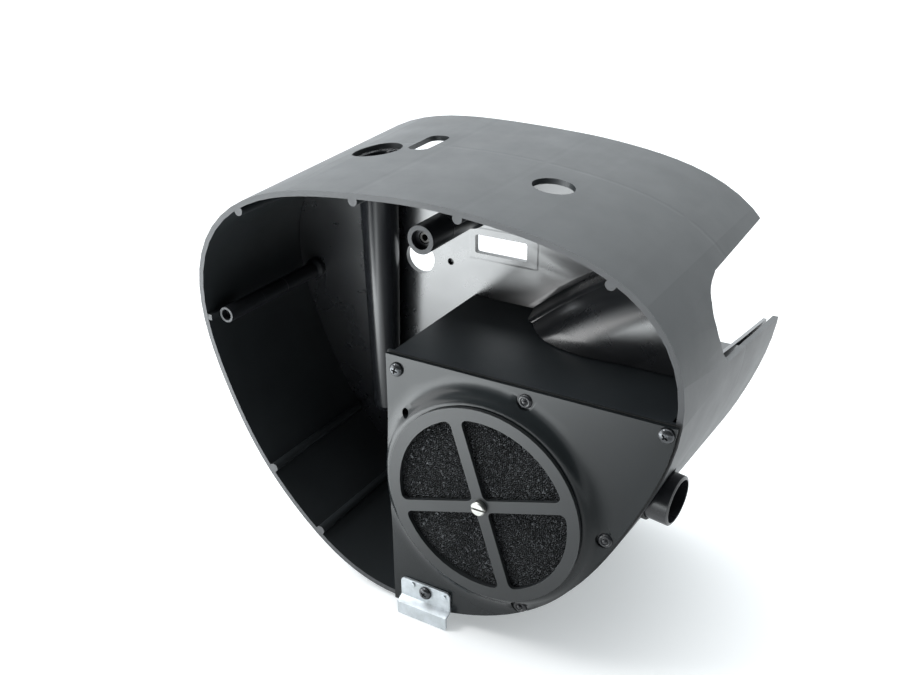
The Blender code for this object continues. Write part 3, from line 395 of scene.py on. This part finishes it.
def refined(node_name, edge, segments):
    """Copy of a node's solid with flat triangles joined, edges rounded and curves shaded smooth."""
    bm = bmesh.new()
    bm.from_mesh(frame["nodes"][node_name].data)
    bmesh.ops.remove_doubles(bm, verts=bm.verts, dist=WELD * MM)
    bmesh.ops.dissolve_limit(bm, angle_limit=math.radians(FLAT_ANGLE), verts=bm.verts, edges=bm.edges)
    mesh = bpy.data.meshes.new(f"{node_name}_skin")
    bm.to_mesh(mesh)
    bm.free()
    mesh.shade_smooth()
    mesh.set_sharp_from_angle(angle=math.radians(SMOOTH_ANGLE))
    piece = link_piece(f"{node_name}_skin", mesh, node_name)
    rounding = piece.modifiers.new("rounded edges", "BEVEL")
    rounding.width = edge * MM
    rounding.segments = segments
    rounding.limit_method = "ANGLE"
    rounding.angle_limit = math.radians(SMOOTH_ANGLE)
    rounding.harden_normals = True


def turned_mesh(name, profile, centre, steps):
    """Solid of revolution about Y, in metres, from a (radius, y) profile in mm whose ends lie on the axis."""
    bm = bmesh.new()
    rows = []
    for index in range(steps):
        angle = 2 * math.pi * index / steps
        rows.append([bm.verts.new((centre[0] + r * math.cos(angle), y, centre[1] + r * math.sin(angle)))
                     for r, y in profile])
    for one, two in zip(rows, rows[1:] + rows[:1]):
        for index in range(len(profile) - 1):
            bm.faces.new((one[index], one[index + 1], two[index + 1], two[index]))
    bmesh.ops.remove_doubles(bm, verts=bm.verts, dist=1e-4)
    bmesh.ops.dissolve_degenerate(bm, edges=bm.edges, dist=1e-5)
    bmesh.ops.recalc_face_normals(bm, faces=bm.faces)
    bm.transform(Matrix.Scale(MM, 4))
    mesh = bpy.data.meshes.new(name)
    bm.to_mesh(mesh)
    bm.free()
    return mesh


def tapered_bar(turn, front, depth, long, wide):
    """Cutter for one arm of a cross recess, narrowing as it goes in; sizes in mm about the origin."""
    bm = bmesh.new()
    corners = []
    for y, share in ((front - 0.4, 1.12), (front + depth, 0.5)):
        corners.append([bm.verts.new((x * long * share, y, z * wide * (0.6 + 0.4 * share)))
                        for x, z in ((-1, -1), (1, -1), (1, 1), (-1, 1))])
    bm.faces.new(corners[0])
    bm.faces.new(corners[1][::-1])
    for index in range(4):
        after = (index + 1) % 4
        bm.faces.new((corners[0][index], corners[1][index], corners[1][after], corners[0][after]))
    bmesh.ops.recalc_face_normals(bm, faces=bm.faces)
    bm.transform(Matrix.Rotation(turn, 4, "Y"))
    return bm


def cut_from(piece, bm, place):
    """Cut a bmesh, moved to place in mm, out of a piece."""
    bm.transform(Matrix.Scale(MM, 4) @ Matrix.Translation((place[0], 0.0, place[1])))
    mesh = bpy.data.meshes.new("cutter")
    bm.to_mesh(mesh)
    bm.free()
    cutter = bpy.data.objects.new("cutter", mesh)
    bpy.context.scene.collection.objects.link(cutter)
    cut = piece.modifiers.new("cut", "BOOLEAN")
    cut.operation, cut.solver, cut.object = "DIFFERENCE", "EXACT", cutter
    apply_modifiers(piece)
    bpy.data.objects.remove(cutter, do_unlink=True)


def pan_screw(node_name, turn):
    """Pan head screw with a cross recess, in the place of the plain one."""
    low, high = node_box(node_name)
    centre = ((low[0] + high[0]) / 2, (low[2] + high[2]) / 2)
    radius = (high[0] - low[0]) / 2
    crown, seat = low[1], low[1] + SCREW_HEAD
    rise = SCREW_HEAD * 0.78
    dome = [(radius * math.sin(t), crown + rise * (1 - math.cos(t)))
            for t in np.linspace(0.0, math.pi / 2, 10)]
    profile = [*dome, (radius, seat - 0.2), (radius - 0.2, seat), (SHANK_R, seat), (SHANK_R, high[1] - 1.0),
               (SHANK_R - 0.8, high[1]), (0.0, high[1])]
    piece = link_piece(f"{node_name}_skin", turned_mesh(f"{node_name}_skin", profile, centre, 56), node_name)
    for arm in (turn, turn + math.pi / 2):
        cut_from(piece, tapered_bar(arm, crown, RECESS_DEPTH, radius * 0.50, radius * 0.13), centre)
    piece.data.shade_smooth()
    piece.data.set_sharp_from_angle(angle=math.radians(38))


def push_rivet(node_name):
    """Plastic push rivet: a low round flange with the pin's crown standing in its middle."""
    low, high = node_box(node_name)
    centre = ((low[0] + high[0]) / 2, (low[2] + high[2]) / 2)
    crown = low[1]
    profile = [(r, crown + y) for r, y in RIVET_FLANGE]
    profile += [(1.6, high[1] - 1.5), (0.8, high[1]), (0.0, high[1])]
    piece = link_piece(f"{node_name}_skin", turned_mesh(f"{node_name}_skin", profile, centre, 44), node_name)
    piece.data.shade_smooth()
    piece.data.set_sharp_from_angle(angle=math.radians(60))


def foam_disc():
    """Foam whose front is broken into open cells, standing in the node's own cylinder."""
    low, high = node_box("foam_filter")
    radius, front, back = (high[0] - low[0]) / 2, low[1], high[1]
    rng = random.Random(SEED)
    count = int(2 * radius / FOAM_CELL) + 2
    seeds = KDTree(count * count)
    for row in range(count):
        for column in range(count):
            seeds.insert(((column + FOAM_JITTER * rng.random()) * FOAM_CELL - radius, 0.0,
                          (row + FOAM_JITTER * rng.random()) * FOAM_CELL - radius), row * count + column)
    seeds.balance()
    bm = bmesh.new()
    rings = int(radius / FOAM_STEP)
    previous = [bm.verts.new((0.0, front + FOAM_SUNK, 0.0))]
    for ring in range(1, rings + 1):
        r = radius * ring / rings
        steps = max(6, 6 * ring)
        current = []
        for index in range(steps):
            angle = 2 * math.pi * index / steps
            point = Vector((r * math.cos(angle), 0.0, r * math.sin(angle)))
            near = seeds.find_n(point, 2)
            inward = min(1.0, (near[1][2] - near[0][2]) / (FOAM_STRAND * FOAM_CELL))
            depth = FOAM_PORE * inward * inward * (3 - 2 * inward) if ring < rings else FOAM_SUNK
            current.append(bm.verts.new((point.x, front + depth, point.z)))
        join_rings(bm, previous, current)
        previous = current
    rim = previous
    back_rim = [bm.verts.new((vertex.co.x, back, vertex.co.z)) for vertex in rim]
    for index in range(len(rim)):
        after = (index + 1) % len(rim)
        bm.faces.new((rim[index], rim[after], back_rim[after], back_rim[index]))
    bm.faces.new(back_rim)
    bmesh.ops.recalc_face_normals(bm, faces=bm.faces)
    bm.transform(Matrix.Scale(MM, 4))
    mesh = bpy.data.meshes.new("foam_skin")
    bm.to_mesh(mesh)
    bm.free()
    mesh.shade_smooth()
    mesh.set_sharp_from_angle(angle=math.radians(60))
    link_piece("foam_skin", mesh, "foam_filter")


def join_rings(bm, inner, outer):
    """Fill the strip between two closed rings of vertices with triangles."""
    if len(inner) == 1:
        for index in range(len(outer)):
            bm.faces.new((inner[0], outer[index], outer[(index + 1) % len(outer)]))
        return
    i = j = 0
    while i < len(inner) or j < len(outer):
        a, b = inner[i % len(inner)], outer[j % len(outer)]
        if j < len(outer) and (i == len(inner) or (j + 1) / len(outer) <= (i + 1) / len(inner)):
            bm.faces.new((a, b, outer[(j + 1) % len(outer)]))
            j += 1
        else:
            bm.faces.new((a, b, inner[(i + 1) % len(inner)]))
            i += 1


def dress_nodes():
    """Give every node its material, and a piece that stands for it."""
    for name, thing in frame["nodes"].items():
        thing.data.materials.clear()
        thing.data.materials.append(material_of(name))
        if name in SCREW_TURNS:
            pan_screw(name, SCREW_TURNS[name])
        elif name in RIVETS:
            push_rivet(name)
        elif name == "foam_filter":
            foam_disc()
        else:
            refined(name, EDGE_RADIUS.get(name, SMALL_EDGE_RADIUS), 3 if name == "filter_cover" else 2)


dress_nodes()


# ---- stage ----

def area_light(name, place, target, size, power):
    light = bpy.data.lights.new(name, "AREA")
    light.shape = "RECTANGLE"
    light.size, light.size_y = size
    light.energy = power
    lamp = bpy.data.objects.new(name, light)
    lamp.location = place
    lamp.rotation_euler = (Vector(target) - Vector(place)).to_track_quat("-Z", "Y").to_euler()
    bpy.context.scene.collection.objects.link(lamp)


def distance_from(tree, coords, centre):
    """Distance in m from a place on the floor."""
    return node(tree, "VectorMath", {"operation": "DISTANCE"}, i0=coords,
                i1=(*centre, 0.0)).outputs["Value"]


def add_floor():
    """White floor that glows as a painted pool of light, most at the front left, and a painted shadow at the
    front right.
    """
    bm = bmesh.new()
    bmesh.ops.create_grid(bm, x_segments=2, y_segments=2, size=FLOOR_HALF)
    bm.transform(Matrix.Translation((0, 0, cad_box[0].z - FLOOR_DROP * MM)))
    mesh = bpy.data.meshes.new("floor")
    bm.to_mesh(mesh)
    bm.free()
    floor = bpy.data.objects.new("floor", mesh)
    bpy.context.scene.collection.objects.link(floor)
    paper, tree, shader, coords = start_material("floor_paper")
    pale = blend_colour(tree, noise(tree, coords, 3.0), (0.74, 0.74, 0.74), (0.78, 0.78, 0.78))
    # Painted shadow: a soft patch at the front right darkens the floor's colour and glow
    shade_share = ramp(tree, distance_from(tree, coords, SHADE_CENTRE), SHADE_INNER, SHADE_OUTER,
                       SHADE_SHARE, 1.0, "SMOOTHSTEP")
    pale = blend_colour(tree, shade_share, (0.0, 0.0, 0.0), pale)
    finish_material(tree, shader, pale, ramp(tree, noise(tree, coords, 40.0), 0.0, 1.0, 0.7, 0.8),
                    bump(tree, noise(tree, coords, 900.0), 0.02 * MM))
    shader.inputs["Emission Color"].default_value = (0.94, 0.985, 1.0, 1.0)
    # Painted pool of light: the floor glows most round the front left
    pool = ramp(tree, distance_from(tree, coords, POOL_CENTRE), POOL_REACH, 0.0,
                FLOOR_GLOW, POOL_GLOW, "SMOOTHERSTEP")
    tree.links.new(math_node(tree, "MULTIPLY", pool, shade_share), shader.inputs["Emission Strength"])
    mesh.materials.append(paper)


def add_sky():
    """Surroundings that are bright behind on the left and dark in front on the right."""
    world = bpy.data.worlds.new("studio")
    bpy.context.scene.world = world
    world.use_nodes = True
    tree = world.node_tree
    facing = node(tree, "VectorMath", {"operation": "DOT_PRODUCT"},
                  i0=node(tree, "TexCoord").outputs["Generated"], i1=SKY_DIRECTION).outputs["Value"]
    strength = ramp(tree, facing, -0.5, 1.0, SKY_DARK, SKY_BRIGHT, "SMOOTHSTEP")
    background = tree.nodes["Background"]
    background.inputs["Color"].default_value = (0.92, 0.97, 1.0, 1.0)
    tree.links.new(strength, background.inputs["Strength"])


def add_stage():
    add_floor()
    add_sky()
    area_light("overhead", (-0.1, 0.1, 1.5), (0, 0, 0), (1.2, 1.2), 8.0)
    area_light("key", (-0.75, -0.55, 0.95), (0, 0, 0), (0.42, 0.42), 7.0)
    area_light("left", (-1.35, -0.95, 0.12), (0, 0, 0.05), (1.0, 0.7), 9.0)
    bpy.context.scene.view_settings.view_transform = "Standard"


def add_camera():
    forward = Vector((-math.sin(CAMERA_AZIMUTH) * math.cos(CAMERA_ELEVATION),
                      math.cos(CAMERA_AZIMUTH) * math.cos(CAMERA_ELEVATION), -math.sin(CAMERA_ELEVATION)))
    right = Vector((math.cos(CAMERA_AZIMUTH), math.sin(CAMERA_AZIMUTH), 0.0))
    turn = Matrix((right, right.cross(forward), -forward)).transposed().to_4x4()
    data = bpy.data.cameras.new("camera")
    data.lens = CAMERA_LENS
    data.sensor_width = SENSOR_WIDTH
    data.clip_start = 0.01
    camera = bpy.data.objects.new("camera", data)
    camera.matrix_world = Matrix.Translation(CAMERA_PLACE) @ turn @ Matrix.Rotation(CAMERA_ROLL, 4, "Z")
    bpy.context.scene.collection.objects.link(camera)
    bpy.context.scene.camera = camera


add_stage()
add_camera()
